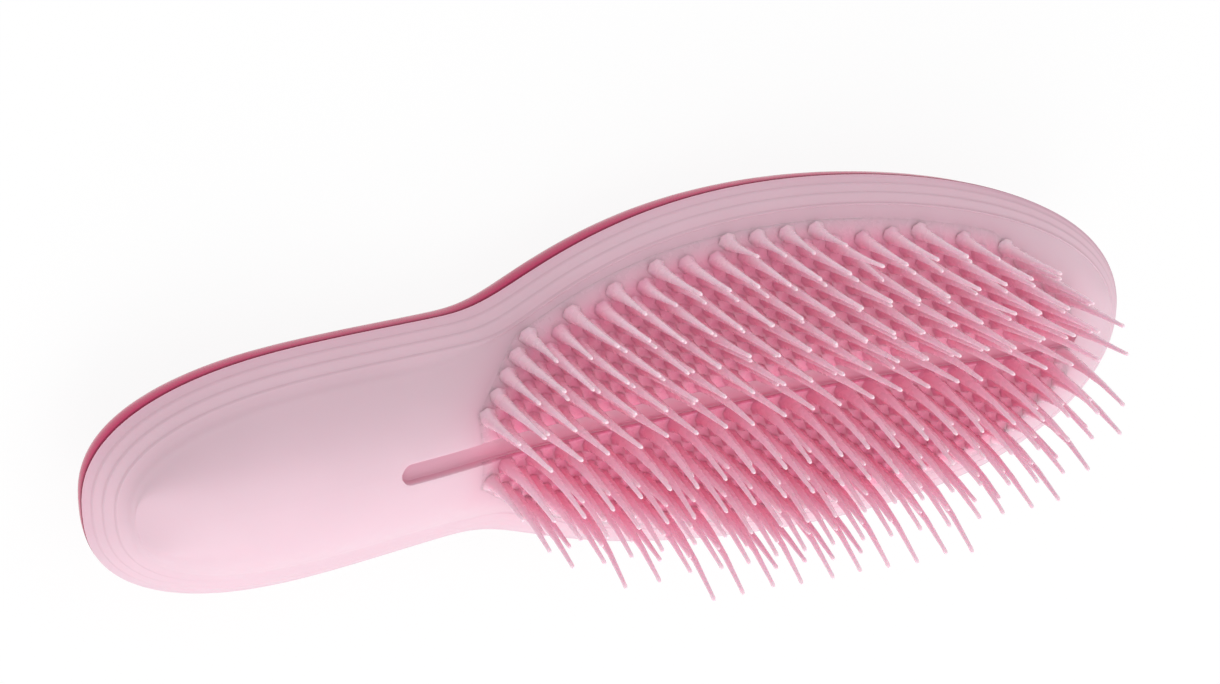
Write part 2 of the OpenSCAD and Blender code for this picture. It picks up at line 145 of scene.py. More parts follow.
class BrushTeeth(bpy.types.PropertyGroup):
    """Sizes of the teeth and of the pads that they grow from."""

    first_column: bpy.props.FloatProperty(
        name="First column", description="Place of the first column of teeth", default=0.0743, unit="LENGTH")
    last_limit: bpy.props.FloatProperty(
        name="Last limit", description="Place past which no column stands", default=0.1996, unit="LENGTH")
    pitch: bpy.props.FloatProperty(
        name="Pitch", description="Spacing of the teeth along a row", default=0.0061, unit="LENGTH")
    row_pitch: bpy.props.FloatProperty(
        name="Row pitch", description="Spacing of the rows", default=0.0028, unit="LENGTH")
    long_middle: bpy.props.FloatProperty(
        name="Long tooth", description="Length of a long tooth by the middle", default=0.0205, unit="LENGTH")
    long_side: bpy.props.FloatProperty(
        name="Long tooth at the side", default=0.013, unit="LENGTH",
        description="Length of a long tooth at the side")
    short_middle: bpy.props.FloatProperty(
        name="Short tooth", description="Length of a short tooth by the middle", default=0.014, unit="LENGTH")
    short_side: bpy.props.FloatProperty(
        name="Short tooth at the side", default=0.0095, unit="LENGTH",
        description="Length of a short tooth at the side")
    lower_long_side: bpy.props.FloatProperty(
        name="Lower long tooth at the side", default=0.023, unit="LENGTH",
        description="Length of the lower field's long teeth at the side")
    lower_short_side: bpy.props.FloatProperty(
        name="Lower short tooth at the side", default=0.0205, unit="LENGTH",
        description="Length of the lower field's short teeth at the side")
    lean_long: bpy.props.FloatProperty(
        name="Lean", default=0.0039, unit="LENGTH",
        description="Outward lean of the lower field's long teeth by the middle")
    lean_long_side: bpy.props.FloatProperty(
        name="Lean at the side", description="The same lean at the side", default=0.011, unit="LENGTH")
    lean_short: bpy.props.FloatProperty(
        name="Short lean", default=0.0019, unit="LENGTH",
        description="Outward lean of the lower field's short teeth by the middle")
    lean_short_side: bpy.props.FloatProperty(
        name="Short lean at the side", description="The same lean at the side", default=0.0044, unit="LENGTH")
    foot_width: bpy.props.FloatProperty(
        name="Foot width", description="Width of a tooth's foot", default=0.003, unit="LENGTH")
    pad_thick: bpy.props.FloatProperty(
        name="Pad thickness", description="Thickness of a pad", default=0.0012, unit="LENGTH")
    border_near: bpy.props.FloatProperty(
        name="Bare border", description="Bare border beside a pad at the neck", default=0.0055, unit="LENGTH")
    border_growth: bpy.props.FloatProperty(
        name="Border growth", default=0.0025, unit="LENGTH",
        description="Growth of the bare border toward the head's end")
    pad_nose: bpy.props.FloatProperty(
        name="Pad nose", description="Reach of a pad at the first column", default=0.0093, unit="LENGTH")
    pad_tail: bpy.props.FloatProperty(
        name="Pad tail", description="Reach of a pad at the last column", default=0.0108, unit="LENGTH")
    pad_margin: bpy.props.FloatProperty(
        name="Pad margin", default=0.00175, unit="LENGTH",
        description="How far a pad runs past its outer columns")
    sway: bpy.props.FloatProperty(
        name="Sway", description="How far the tips lean off true", default=0.00035, unit="LENGTH")


class BrushFinish(bpy.types.PropertyGroup):
    """Colours of the mouldings, of the shade, shadow and highlight painted on them, and of the studio."""

    shell_pale: bpy.props.FloatVectorProperty(
        name="Pale shell", subtype="COLOR", size=3, default=(0.74, 0.525, 0.60), min=0.0, max=1.0,
        description="Colour of the front shell")
    # Painted shade: the deeper pink that bounced light and shade give among the teeth, in the channel and along
    # the parting line
    field_deep: bpy.props.FloatVectorProperty(
        name="Deep field", subtype="COLOR", size=3, default=(0.92, 0.30, 0.46), min=0.0, max=1.0,
        description="Colour of the bed between the teeth")
    # Painted shadow beside each tooth's foot, along the lower field's lip and on the channel floor
    field_dark: bpy.props.FloatVectorProperty(
        name="Dark field", subtype="COLOR", size=3, default=(0.87, 0.21, 0.38), min=0.0, max=1.0,
        description="Colour of the bed beside a tooth's foot and along the channel")
    tooth_pale: bpy.props.FloatVectorProperty(
        name="Pale tooth", subtype="COLOR", size=3, default=(0.965, 0.65, 0.745), min=0.0, max=1.0,
        description="Colour of a tooth toward its tip")
    # Painted highlight at a tooth's very tip, also mixed in a little along the border teeth
    tip_pale: bpy.props.FloatVectorProperty(
        name="Pale tip", subtype="COLOR", size=3, default=(0.98, 0.67, 0.76), min=0.0, max=1.0,
        description="Colour of a tooth's very tip")
    # Painted shade in the creases, around the field, in the channel and along the parting line
    painted_shade_colour: bpy.props.FloatVectorProperty(
        name="Crease shade", subtype="COLOR", size=3, default=(0.52, 0.29, 0.36), min=0.0, max=1.0,
        description="Colour in the creases")
    back_pink: bpy.props.FloatVectorProperty(
        name="Back pink", subtype="COLOR", size=3, default=(0.53, 0.005, 0.10), min=0.0, max=1.0,
        description="Colour of the back shell")
    floor_white: bpy.props.FloatVectorProperty(
        name="Floor", subtype="COLOR", size=3, default=(0.90, 0.90, 0.90), min=0.0, max=1.0,
        description="Colour of the floor")


class Sizes:
    """A group's sizes, with every length in millimetres."""

    def __init__(self, group):
        for item in group.bl_rna.properties:
            if item.type == "FLOAT":
                value = getattr(group, item.identifier)
                setattr(self, item.identifier, round(value / MM, 4) if item.unit == "LENGTH" else value)


def outline():
    return Sizes(bpy.context.scene.brush_outline)


def shells():
    return Sizes(bpy.context.scene.brush_shells)


def teeth():
    return Sizes(bpy.context.scene.brush_teeth)


def finish():
    return bpy.context.scene.brush_finish


# Shape of the brush, in millimetres, X from the handle's end and Z from the parting line's lowest place

# Places where the dome leaves the handle's height, reaches the neck's and reaches the head's
SETTLE = (60.0, 105.0, 175.0)
# Places between which the handle's panel fades into the head's face
FADE = (62.0, 84.0)
# Power of the curve in which the face's sides and ends meet
CORNER = 3
# Insets of the three creases, run of a crease's step and run of the panel's step
CREASES = (1.3, 2.8, 4.5)
CREASE_RUN = 0.12
PANEL_RUN = 0.9
# Slopes at which a pad's reach grows from its first column and falls to its last
NOSE_SLOPE = 0.9
TAIL_SLOPE = 0.92
# Run of a pad's thin end past its outer columns, and free strip outside its outermost teeth
END_RUN = 0.3
TOOTH_GAP = 0.25
# Tolerances for places that meet and for numbers that may be nothing
CLOSE = 0.01
TOLERANCE = 1e-6
TINY = 1e-9


def ease(x, a, b):
    """Soft step from 0 at a to 1 at b."""
    u = np.clip((np.asarray(x, float) - a) / (b - a), 0, 1)
    return (1 - np.cos(np.pi * u)) / 2


def half_width(x, d):
    """Half width of the outline drawn in by d, never past the solids' own."""
    o = outline()
    x = np.asarray(x, float)
    head_half = o.head_length / 2
    head_mid = o.length - head_half
    u = (x - head_mid) / (head_half - d)
    oval = (o.head_width / 2 - d) * np.sqrt(np.clip(1 - u * u, 0, None))
    narrowing = (o.handle_width - o.neck_width) / 2 * ease(x, o.handle_belly, o.neck_at)
    side = o.handle_width / 2 - narrowing - d
    u = np.clip((o.handle_round - x) / (o.handle_round - d), 0, 1)
    end = np.clip(1 - u**o.handle_power, 0, None) ** (1 / o.handle_power)
    fade = np.clip((head_mid - x) / (head_mid - o.neck_at), 0, 1)
    handle = side * end * np.where(x > o.neck_at, np.sqrt(np.sin(np.pi / 2 * fade)), 1)
    top = np.maximum(np.maximum(oval, handle), TINY)
    p = o.blend_power
    joined = np.where(top < TOLERANCE, 0, top * ((oval / top) ** p + (handle / top) ** p) ** (1 / p))
    return np.minimum(joined, CAD_BOX[1][1] / MM)


def rim(x):
    """Height of the parting line."""
    o = outline()
    u = (np.asarray(x, float) - o.length / 2) / (o.length / 2)
    return np.where(u < 0, o.rise_handle, o.rise_head) * (1 - np.cos(np.pi * np.minimum(1, np.abs(u)))) / 2


def dome(x, d):
    """Height of the face over the parting line where it is drawn in by d."""
    s = shells()
    to_neck, to_head = ease(x, SETTLE[0], SETTLE[1]), ease(x, SETTLE[1], SETTLE[2])
    top = s.dome_handle + (s.dome_neck - s.dome_handle) * to_neck + (s.dome_head - s.dome_neck) * to_head
    return top * (1 - np.exp(-d * s.edge_slope / top))


def face_inset(x):
    """Inset of the face's edge, from the panel's on the handle to the head's."""
    s = shells()
    return s.panel_in + (s.face_in - s.panel_in) * ease(x, *FADE)


def face_height(x, y):
    """Height of the smooth face over a place on the plan."""
    o, s = outline(), shells()
    x = np.asarray(x, float)
    inset = face_inset(x)
    w, y = half_width(x, inset), np.abs(y)
    r = s.crown_round * (1 - ease(x, SETTLE[0], SETTLE[1]))
    crowned = w * (np.hypot(y, r) - r) / np.maximum(np.hypot(w, r) - r, TINY)
    a = np.clip(w - np.where(y < w, crowned, y), 0, None)
    b = np.clip(np.minimum(x - s.panel_in, o.length - s.face_in - x), 0, None)
    low = np.minimum(a, b)
    ratios = (low / np.maximum(a, TINY)) ** CORNER + (low / np.maximum(b, TINY)) ** CORNER
    part = np.where(low <= 0, 0, low * (ratios + TINY) ** (-1 / CORNER))
    return rim(x) + dome(x, inset + part) + s.panel_step * (1 - ease(x, *FADE))


def channel_shape(x):
    """Half width of the channel and how much of its depth it has, along the brush."""
    s, f = shells(), field()
    c = s.channel_width / 2
    past_pad, narrowest, deepening = END_RUN + 0.5, 0.55, (-0.15, 0.75)
    a, b = s.channel_from, f["stop"] + past_pad + c / 2
    near = np.minimum(x - a, b - x)
    u = np.clip(1 - near / c, 0, 1)
    width = np.maximum(c * np.sqrt(np.clip(1 - u * u, 0, 1)), narrowest)
    return width, ease(near, *deepening)


# Layout of the teeth, the same lattice as the solids


def field():
    """Places of the columns, the pad's reach, its ends and the teeth."""
    t, s, o = teeth(), shells(), outline()
    half = t.pitch / 2
    last = math.floor((t.last_limit - t.first_column) / half + TOLERANCE)
    x_last = t.first_column + last * half
    start, stop = t.first_column - t.pad_margin, x_last + t.pad_margin
    c = s.channel_width / 2

    def reach(x):
        x = np.asarray(x, float)
        border = t.border_near + t.border_growth * (x - start) / (stop - start)
        nose = t.pad_nose + NOSE_SLOPE * (x - t.first_column)
        tail = t.pad_tail + TAIL_SLOPE * (x_last - x)
        r = np.minimum(half_width(x, border), np.minimum(nose, tail))
        return np.where((x < start - TOLERANCE) | (x > stop + TOLERANCE), c, r)

    places = []
    columns = [t.first_column + m * half for m in range(last + 1)]
    xs = [start - END_RUN, start, *columns, stop, stop + END_RUN]
    ys = [c, *(float(reach(x)) for x in xs[1:-1]), c]
    rows = math.ceil((o.head_width / 2 - c) / t.row_pitch)
    for i in range(2, len(xs) - 2):
        lines = 1 + math.floor((ys[i] - TOOTH_GAP - c) / t.row_pitch)
        slopes = [(ys[i + k] - ys[i]) / abs(xs[i + k] - xs[i]) for k in (-1, 1)]
        room = min(ys[i] + slope * t.foot_width / 2 for slope in slopes)
        for j in range(min(rows, lines - 1)):
            y = c + (j + 0.5) * t.row_pitch
            if (i + j) % 2 == 1 and y + TOOTH_GAP <= room:
                places.append((xs[i], y, j))
    return {"reach": reach, "start": start, "stop": stop, "teeth": places}


def tooth_size(y, j, side):
    """Length of a tooth and how far its tip leans outward."""
    t, o = teeth(), outline()
    across = y / (o.head_width / 2 - t.border_near)
    far_long, far_short = (t.long_side, t.short_side) if side > 0 else (t.lower_long_side, t.lower_short_side)
    near, far = (t.long_middle, far_long) if j % 2 == 0 else (t.short_middle, far_short)
    length = near + (far - near) * across**3
    if side > 0:
        return length, 0.0
    near, far = (t.lean_long, t.lean_long_side) if j % 2 == 0 else (t.lean_short, t.lean_short_side)
    return length, near + (far - near) * across**2


def in_pad(x, f, more=0.0):
    """Whether a place along the brush lies within the pads' length, or up to so much past it."""
    return (x > f["start"] - more - CLOSE) & (x < f["stop"] + more + CLOSE)


def plan_columns():
    """Places of the shells' columns, close together at both round ends and at the channel's ends."""
    s, o, f = shells(), outline(), field()
    first, last, channel = s.panel_in, o.length - s.face_in, s.channel_from
    turn_to, plain_from, end, tail = 45.0, 46.2, f["stop"] + END_RUN, f["stop"] + END_RUN + 2.2
    plain_step, fine_step = 1.2, 0.22
    near_turn, to_pads, along_pads, past_pads, far_turn = 40, 15, 212, 10, 30
    parts = (
        first + (turn_to - first) * (1 - np.cos(np.pi / 2 * np.arange(near_turn + 1) / near_turn)),
        np.arange(plain_from, channel - 0.9, plain_step),
        np.arange(channel - 0.7, channel + 2.6, fine_step),
        np.linspace(channel + 2.8, f["start"] - END_RUN, to_pads),
        np.linspace(f["start"], f["stop"], along_pads),
        np.linspace(end, tail, past_pads),
        tail + (last - tail) * np.sin(np.pi / 2 * np.arange(1, far_turn + 1) / far_turn),
    )
    return np.concatenate(parts)


def plan_origin():
    """Where the model's origin lies on the plan, in millimetres."""
    o, s = outline(), shells()
    return np.array([o.length / 2, 0, s.rest_flat - s.back_depth - s.back_crown])


def in_place(points):
    """From the plan in millimetres to the model in metres."""
    return (np.asarray(points) - plan_origin()) * MM


def field_distance(x, y):
    """Distance from the edge of the field of teeth, below zero inside it."""
    f = field()
    xs = np.linspace(f["start"], f["stop"], 260)
    ys = f["reach"](xs)
    ends = [np.stack([np.full(12, xs[k]), np.linspace(0, ys[k], 12)], 1) for k in (0, -1)]
    border = np.concatenate([np.stack([xs, ys], 1), *ends])
    ay = np.abs(y)
    out = np.empty(len(x))
    batch = 20000
    for k in range(0, len(x), batch):
        dx = x[k : k + batch, None] - border[None, :, 0]
        dy = ay[k : k + batch, None] - border[None, :, 1]
        out[k : k + batch] = np.sqrt((dx * dx + dy * dy).min(1))
    inside = (x > f["start"]) & (x < f["stop"]) & (ay < f["reach"](x))
    return np.where(inside, -out, out)


def painted_field_shade(dist):
    """How strong the painted deep pink shade is, faint outside the field and full inside it."""
    edge, full, fade_out, fade_in = 0.2, 0.9, 2.5, 6.0
    outside = edge * np.exp(-np.clip(dist, 0, None) / fade_out)
    return np.where(dist > 0, outside, edge + (full - edge) * ease(-dist, 0, fade_in))


def painted_edge_shade(dist):
    """Painted soft shade along the edge of the field, on both sides of it."""
    strength, run = 0.24, 2.2
    return strength * np.exp(-np.abs(dist) / run)


# Mesh work


def only(obj):
    bpy.ops.object.select_all(action="DESELECT")
    obj.select_set(True)
    bpy.context.view_layer.objects.active = obj


def start_edit():
    bpy.ops.object.mode_set(mode="EDIT")
    bpy.ops.mesh.select_all(action="SELECT")


def end_edit():
    """Turns every face outward and goes back to object mode."""
    bpy.ops.mesh.select_all(action="SELECT")
    bpy.ops.mesh.normals_make_consistent(inside=False)
    bpy.ops.object.mode_set(mode="OBJECT")


def shaped_grid(name, rows):
    """A grid primitive with its rows round a closed section, its seam and ends merged, and each point's row."""
    pts = np.array(rows)
    lines, columns = pts.shape[:2]
    bpy.ops.mesh.primitive_grid_add(x_subdivisions=columns - 1, y_subdivisions=lines - 1, size=1.0)
    piece = bpy.context.object
    piece.name = piece.data.name = name
    if len(piece.data.vertices) != lines * columns:
        raise RuntimeError("the grid of " + name + " has another number of points than its rows")
    piece.data.vertices.foreach_set("co", in_place(pts).ravel())
    layer = piece.data.attributes.new("row", "INT", "POINT")
    layer.data.foreach_set("value", np.repeat(np.arange(lines, dtype=np.int32), columns))
    piece.data.update()
    start_edit()
    bpy.ops.mesh.remove_doubles(threshold=2e-6)
    bpy.ops.mesh.dissolve_degenerate(threshold=1e-6)
    end_edit()
    bpy.ops.object.transform_apply(location=True, rotation=True, scale=True)
    layer = piece.data.attributes["row"]
    row_of = np.empty(len(layer.data), np.int32)
    layer.data.foreach_get("value", row_of)
    piece.data.attributes.remove(layer)
    return piece, row_of


def closed_section(half, inner):
    """Rows round a whole section: one outer half, its mirror image, the inside and the first row again."""
    other = np.array([1, -1, 1])
    return half + [r * other for r in half[::-1]] + [r * other for r in inner] + inner[::-1] + [half[0]]


def smoothed(piece, angle):
    only(piece)
    bpy.ops.object.shade_smooth_by_angle(angle=math.radians(angle))


def set_values(piece, name, values):
    layer = piece.data.attributes.new(name, "FLOAT", "POINT")
    layer.data.foreach_set("value", np.asarray(values, np.float32))


def points_of(piece):
    co = np.empty(len(piece.data.vertices) * 3)
    piece.data.vertices.foreach_get("co", co)
    return co.reshape(-1, 3)


def plan_points(piece):
    """The piece's points back on the plan, in millimetres, as three lists."""
    return (points_of(piece) / MM + plan_origin()).T


# Materials


def fresh_material(name):
    mat = bpy.data.materials.new(name)
    mat.use_nodes = True
    tree = mat.node_tree
    tree.nodes.clear()
    out = tree.nodes.new("ShaderNodeOutputMaterial")
    skin = tree.nodes.new("ShaderNodeBsdfPrincipled")
    tree.links.new(skin.outputs["BSDF"], out.inputs["Surface"])
    return mat, tree, skin


def node(tree, kind, **values):
    n = tree.nodes.new(kind)
    for key, value in values.items():
        setattr(n, key, value)
    return n


def set_sockets(n, values):
    for name, value in values.items():
        n.inputs[name].default_value = value


def mixed(tree, factor, a, b):
    """Mix of two colours, each a socket or a plain colour."""
    n = node(tree, "ShaderNodeMix", data_type="RGBA", blend_type="MIX")
    tree.links.new(factor, n.inputs[0])
    for socket, value in ((n.inputs[6], a), (n.inputs[7], b)):
        if hasattr(value, "is_output"):
            tree.links.new(value, socket)
        else:
            socket.default_value = (*value, 1.0)
    return n.outputs[2]


def ranged(tree, value, *limits):
    """The value carried from the first two limits to the last two."""
    n = node(tree, "ShaderNodeMapRange", clamp=True)
    tree.links.new(value, n.inputs[0])
    for k, limit in enumerate(limits):
        n.inputs[k + 1].default_value = limit
    return n.outputs[0]


def noise(tree, scale, detail=2.0, rough=0.5):
    place = node(tree, "ShaderNodeTexCoord")
    n = node(tree, "ShaderNodeTexNoise")
    set_sockets(n, {"Scale": scale, "Detail": detail, "Roughness": rough})
    tree.links.new(place.outputs["Object"], n.inputs["Vector"])
    return n.outputs["Fac"]


def attribute(tree, name):
    return node(tree, "ShaderNodeAttribute", attribute_type="GEOMETRY", attribute_name=name).outputs["Fac"]


def clouded(tree, colour, scale, darker, lighter):
    """The colour in soft clouds, a little darker and a little lighter by turns."""
    cloud = ranged(tree, noise(tree, scale), 0.3, 0.7, 0.0, 1.0)
    return mixed(tree, cloud, [v * darker for v in colour], [min(1, v * lighter) for v in colour])


def layered(tree, colour, *layers):
    """The colour with each layer's own colour mixed over it by the attribute that the layer names."""
    for name, over in layers:
        colour = mixed(tree, attribute(tree, name), colour, over)
    return colour


def grain(tree, skin, scale, strength, distance):
    """Fine moulded grain on the surface."""
    bump = node(tree, "ShaderNodeBump")
    set_sockets(bump, {"Strength": strength, "Distance": distance})
    tree.links.new(noise(tree, scale, 3.0, 0.6), bump.inputs["Height"])
    tree.links.new(bump.outputs["Normal"], skin.inputs["Normal"])


def satin_pink():
    """Pale satin moulding with painted deep pink shade near the teeth, in the channel and along the parting
    line, painted shade in its creases, and painted shadow in the channel.
    """
    mat, tree, skin = fresh_material("satin_pink_moulding")
    f = finish()
    pale = clouded(tree, f.shell_pale, 35.0, 0.975, 1.02)
    shaded = layered(tree, pale, ("glow", f.field_deep), ("crease", f.painted_shade_colour), ("shade", f.field_dark))
    tree.links.new(shaded, skin.inputs["Base Color"])
    tree.links.new(ranged(tree, noise(tree, 420.0, 3.0), 0.3, 0.7, 0.40, 0.50), skin.inputs["Roughness"])
    set_sockets(skin, {"Subsurface Weight": 0.15, "Subsurface Radius": (1.0, 0.35, 0.45)})
    set_sockets(skin, {"Subsurface Scale": 0.003, "Specular IOR Level": 0.4})
    grain(tree, skin, 2600.0, 0.12, 0.00008)
    return mat


def tooth_pink():
    """Soft moulding of the teeth, with painted deep pink shade at the bed and the feet, painted shade and
    shadow about the feet, and a painted highlight at the tips.
    """
    mat, tree, skin = fresh_material("tooth_pink_moulding")
    f = finish()
    pale = clouded(tree, f.tooth_pale, 60.0, 0.97, 1.03)
    tones = (("edge", f.shell_pale), ("glow", f.field_deep), ("tip", f.tip_pale))
    shades = (("crease", f.painted_shade_colour), ("shade", f.field_dark))
    tree.links.new(layered(tree, pale, *tones, *shades), skin.inputs["Base Color"])
    tree.links.new(ranged(tree, noise(tree, 500.0, 3.0), 0.3, 0.7, 0.22, 0.32), skin.inputs["Roughness"])
    set_sockets(skin, {"Subsurface Weight": 0.35, "Subsurface Radius": (1.0, 0.45, 0.6)})
    set_sockets(skin, {"Subsurface Scale": 0.003, "Specular IOR Level": 0.6})
    grain(tree, skin, 1600.0, 0.04, 0.00004)
    return mat


def gloss_pink():
    """Glossy deep pink moulding with a faint flow pattern, roughness that varies in clouds, and painted shade
    along the parting line.
    """
    mat, tree, skin = fresh_material("gloss_pink_moulding")
    f = finish()
    pink = clouded(tree, f.back_pink, 22.0, 0.94, 1.06)
    # Painted shade in a darker band along the parting line
    dark = layered(tree, pink, ("crease", [v * 0.55 for v in f.back_pink]))
    tree.links.new(dark, skin.inputs["Base Color"])
    rough = ranged(tree, noise(tree, 160.0, 4.0, 0.65), 0.35, 0.75, 0.16, 0.27)
    tree.links.new(rough, skin.inputs["Roughness"])
    set_sockets(skin, {"Specular IOR Level": 0.09})
    grain(tree, skin, 240.0, 0.05, 0.00006)
    return mat


def floor_white():
    """Pale floor that shows white to the camera and keeps a soft shadow."""
    mat, tree, skin = fresh_material("studio_floor")
    share_seen = 0.92
    tree.links.new(clouded(tree, finish().floor_white, 3.0, 0.99, 1.0), skin.inputs["Base Color"])
    set_sockets(skin, {"Roughness": 0.6})
    light = node(tree, "ShaderNodeEmission")
    set_sockets(light, {"Strength": 1.0})
    share = node(tree, "ShaderNodeMath", operation="MULTIPLY")
    share.inputs[1].default_value = share_seen
    tree.links.new(seen_directly(tree), share.inputs[0])
    blend = node(tree, "ShaderNodeMixShader")
    tree.links.new(share.outputs[0], blend.inputs[0])
    tree.links.new(skin.outputs["BSDF"], blend.inputs[1])
    tree.links.new(light.outputs["Emission"], blend.inputs[2])
    out = next(n for n in tree.nodes if n.type == "OUTPUT_MATERIAL")
    tree.links.new(blend.outputs["Shader"], out.inputs["Surface"])
    return mat


def seen_directly(tree):
    """One for camera, glossy and transmission rays."""
    path = node(tree, "ShaderNodeLightPath")
    total = path.outputs["Is Camera Ray"]
    for name in ("Is Glossy Ray", "Is Transmission Ray"):
        add = node(tree, "ShaderNodeMath", operation="ADD", use_clamp=True)
        tree.links.new(total, add.inputs[0])
        tree.links.new(path.outputs[name], add.inputs[1])
        total = add.outputs[0]
    return total


def dress(piece, mat, slot_name, *nodes):
    """Gives a piece its material, tells the frame what it rides on and hides the solids that it stands for;
    slot_name is not used.
    """
    piece.data.materials.clear()
    piece.data.materials.append(mat)
    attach(piece, "root")
    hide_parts(*nodes)


# The front shell

# One crease: run from its place, height in half steps, and its painted shade on the handle and at the head's
# end
CREASE_PROFILE = (
    (-0.14, -0.92, 0.0, 0.35),
    (0.0, -1.0, 0.24, 0.5),
    (CREASE_RUN, 1.0, 0.07, 0.2),
    (CREASE_RUN + 0.14, 0.93, 0.0, 0.0),
)
# Between two creases: share of the gap and height in half steps
BETWEEN_CREASES = ((0.42, 0.3), (0.68, -0.35))
# The two rows before the panel: insets of the first, how far the second lies before the step, and painted shade
# on the upper side
LAST_RISE = (4.95, 4.86)
STEP_FOOT = (0.4, 0.03)
FOOT_SHADES = (0.08, 0.11)
# Up the panel's step: share of its run and painted shade on the upper side
PANEL_STEPS = ((0.0, 0.14), (0.3, 0.12), (0.6, 0.0), (0.85, 0.0))
# Shares of the way from the face's edge to the pad, and on across the pad's bed to the channel
FACE_SHARES = (0, 0.08, 0.18, 0.3, 0.43, 0.56, 0.7, 0.85, 1)
BED_SHARES = (1, 0.75, 0.5, 0.25, 0)
# Down the channel's side: share of its half width and of its depth, and its lip's width
CHANNEL_PROFILE = ((1.0, 0.03), (0.95, 0.14), (0.9, 0.5), (0.84, 0.86), (0.72, 0.97), (0.4, 1.0))
CHANNEL_LIP = 1.16
# How strong the channel's painted deep pink shade is on the handle, and how much more among the teeth and at
# its stop
CHANNEL_DEEP_SHADE = (0.45, -0.13, 0.35)
# How far it turns to the painted shade's colour on the handle and among the teeth, and to the painted shadow's
# colour there
CHANNEL_DARK = (0.6, 0.2)
CHANNEL_SHADE = 0.33
# Strength and reach of the painted deep pink shade along the parting line, mostly on the upper side, and how
# dark the painted shade on that line is at the far end
UPPER_EDGE_SHADE = ((0.14, 3.0), (0.2, 0.5))
PARTING_DARK = 0.75
# How much darker the painted crease shade is on the handle's lower side
UNDER_HANDLE = 1.1
# Inset of the shell's inner edge, and shares of the width across its inside
INNER_EDGE = 2.4
INNER_SHARES = (1, 0.8, 0.6, 0.4, 0.2)


def border_row(x, d, lift, d_head=None):
    """A row of the domed border, drawn in by d on the handle and by d_head on the head."""
    o, s = outline(), shells()
    far = d if d_head is None else d_head
    along = (x - s.panel_in) / (o.length - s.face_in - s.panel_in)
    px = d + (o.length - d - far) * along
    inset = d + (far - d) * ease(x, *FADE)
    return np.stack([px, half_width(px, inset), rim(px) + dome(px, inset) + lift], 1)


def level_row(x, d):
    """A row at the parting line's own height, drawn in by d."""
    row = border_row(x, d, 0)
    row[:, 2] = rim(row[:, 0])
    return row


def face_row(x, y, lift):
    """A row of the smooth face, lifted over it by lift."""
    return np.stack([x, y, face_height(x, y) + lift], 1)


def border_rows(x):
    """Rows from the parting line to the face's edge, with each one's painted crease shade on handle and head
    and its painted shade before the panel.
    """
    s = shells()
    step, bare = s.crease_step / 2, (0.0, 0.0, 0.0)
    rows = [level_row(x, s.groove), border_row(x, 0, s.groove * 0.7)]
    rows += [border_row(x, 0.25, -0.03), border_row(x, 0.7, -step * 0.5)]
    shade_marks = [bare] * len(rows)
    for d, following in zip(CREASES, (*CREASES[1:], None)):
        for run, height, near, far in CREASE_PROFILE:
            rows.append(border_row(x, d + run, step * height))
            shade_marks.append((near, far, 0.0))
        for share, height in BETWEEN_CREASES if following else ():
            rows.append(border_row(x, d + (following - d) * share, step * height))
            shade_marks.append(bare)
    pre, pre_head = s.panel_in - PANEL_RUN - CREASE_RUN, s.face_in - CREASE_RUN
    rows.append(border_row(x, LAST_RISE[0], step * 0.55, LAST_RISE[1]))
    rows.append(border_row(x, pre - STEP_FOOT[0], 0, pre_head - STEP_FOOT[1]))
    shade_marks += [(0.0, 0.0, panel_shade) for panel_shade in FOOT_SHADES]
    lift = s.panel_step * (1 - ease(x, *FADE))
    for share, panel_shade in PANEL_STEPS:
        d, d_head = pre + (s.panel_in - pre) * share, pre_head + (s.face_in - pre_head) * share
        rows.append(border_row(x, d, lift * share * share * (3 - 2 * share), d_head))
        shade_marks.append((0.0, 0.0, panel_shade))
    return rows, shade_marks


def face_rows(x):
    """Rows from the face's edge to the middle of the channel, with the bed of the pad sunk between them."""
    s, t, f = shells(), teeth(), field()
    w = half_width(x, face_inset(x))
    c, deep = channel_shape(x)
    c = np.minimum(c, w * 0.5)
    lip = c * CHANNEL_LIP
    opening = ease(x, s.channel_from + 3, f["start"] - END_RUN)
    closing = 1 - ease(x, f["stop"] + END_RUN, f["stop"] + 7)
    nose = np.where(x < f["start"], opening, closing)
    reach = f["reach"](np.clip(x, f["start"], f["stop"]))
    reach = np.where(in_pad(x, f), reach, np.minimum(lip + (reach - lip) * nose, w * 0.9))
    sunk = np.where(in_pad(x, f), t.pad_thick, 0)
    rows = [face_row(x, w + (reach - w) * share, 0) for share in FACE_SHARES]
    rows += [face_row(x, lip + (reach - lip) * share, -sunk) for share in BED_SHARES]
    for share, depth in CHANNEL_PROFILE:
        rows.append(face_row(x, c * share, -np.maximum(sunk, s.channel_depth * deep * depth)))
    return rows


